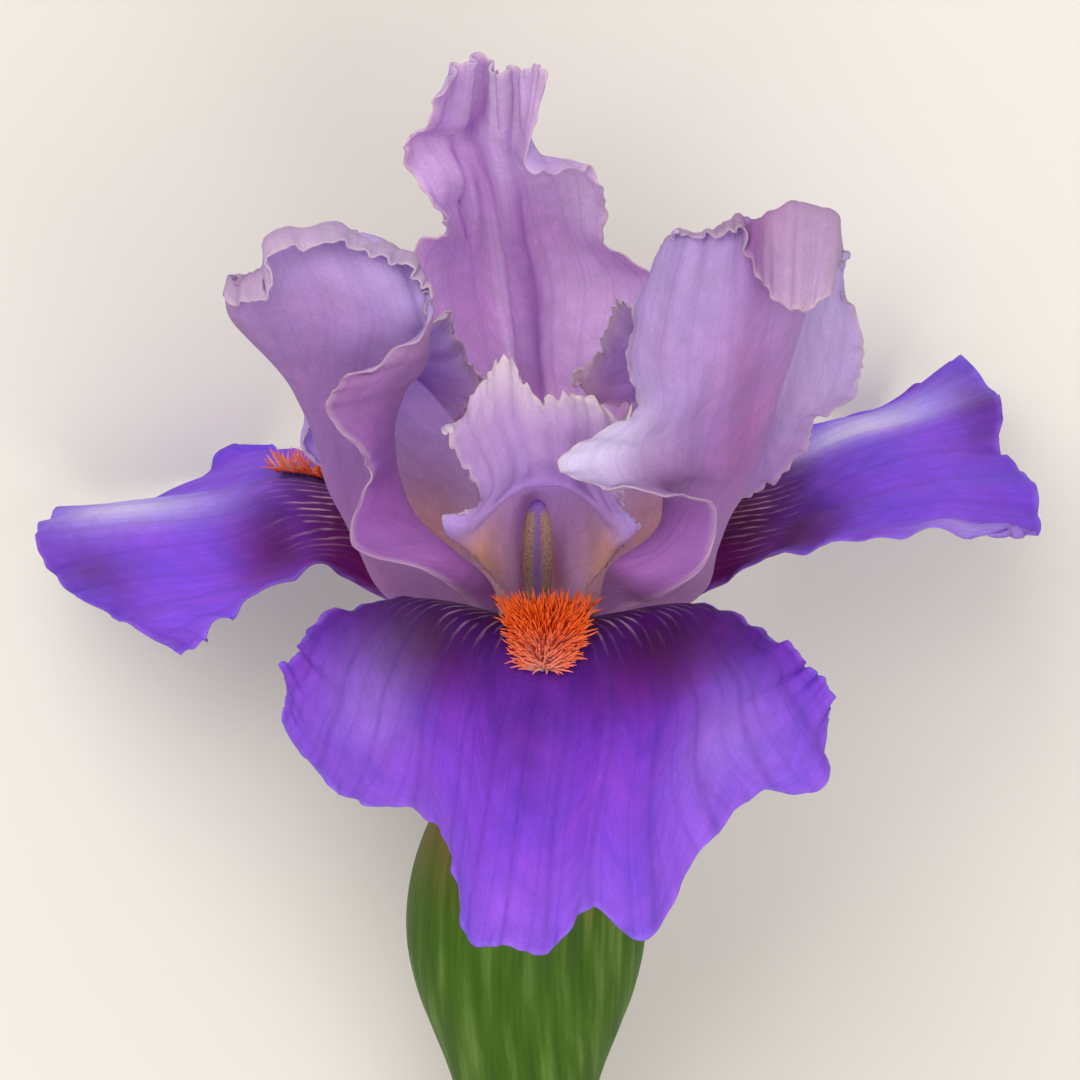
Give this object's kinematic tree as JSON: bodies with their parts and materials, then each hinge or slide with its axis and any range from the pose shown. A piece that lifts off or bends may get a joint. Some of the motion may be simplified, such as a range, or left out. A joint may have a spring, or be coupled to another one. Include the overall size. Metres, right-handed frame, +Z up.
{
  "type": "bearded iris flower",
  "caption": "Bearded iris bloom, cut with a short stem and laid down: ruffled lilac standards, violet falls with orange beards, and crested style arms.",
  "frame": {"origin": "on the table, under the middle of the flower's bounding box", "axes": "+Z up from the table it lies on, towards the front fall; +Y from the stem's cut end towards the tips of the standards; +X to the right of the flower seen from above"},
  "size_m": [0.1212, 0.1744, 0.0889],
  "materials": {
    "stem": "satin green stem, ovary and tube",
    "bract_outer": "green bract with a papery edge",
    "bract_inner": "green bract with a papery edge",
    "fall_front": "velvety violet with darker veins",
    "fall_left": "velvety violet with darker veins",
    "fall_right": "velvety violet with darker veins",
    "standard_left": "soft lilac with fine veins",
    "standard_right": "soft lilac with fine veins",
    "standard_back": "soft lilac with fine veins",
    "style": "pale lilac with a cream crest",
    "stamen_front": "tan anther with pollen",
    "stamen_left": "tan anther with pollen",
    "stamen_right": "tan anther with pollen",
    "beard_front": "orange hairs, paler at their feet",
    "beard_left": "orange hairs, paler at their feet",
    "beard_right": "orange hairs, paler at their feet"
  },
  "bodies": {
    "root": {"stem": "stem", "bract_outer": "bract_outer", "bract_inner": "bract_inner", "fall_front": "fall_front", "fall_left": "fall_left", "fall_right": "fall_right", "standard_left": "standard_left", "standard_right": "standard_right", "standard_back": "standard_back", "style": "style", "stamen_front": "stamen_front", "stamen_left": "stamen_left", "stamen_right": "stamen_right", "beard_front": "beard_front", "beard_left": "beard_left", "beard_right": "beard_right"}
  },
  "joints": []
}
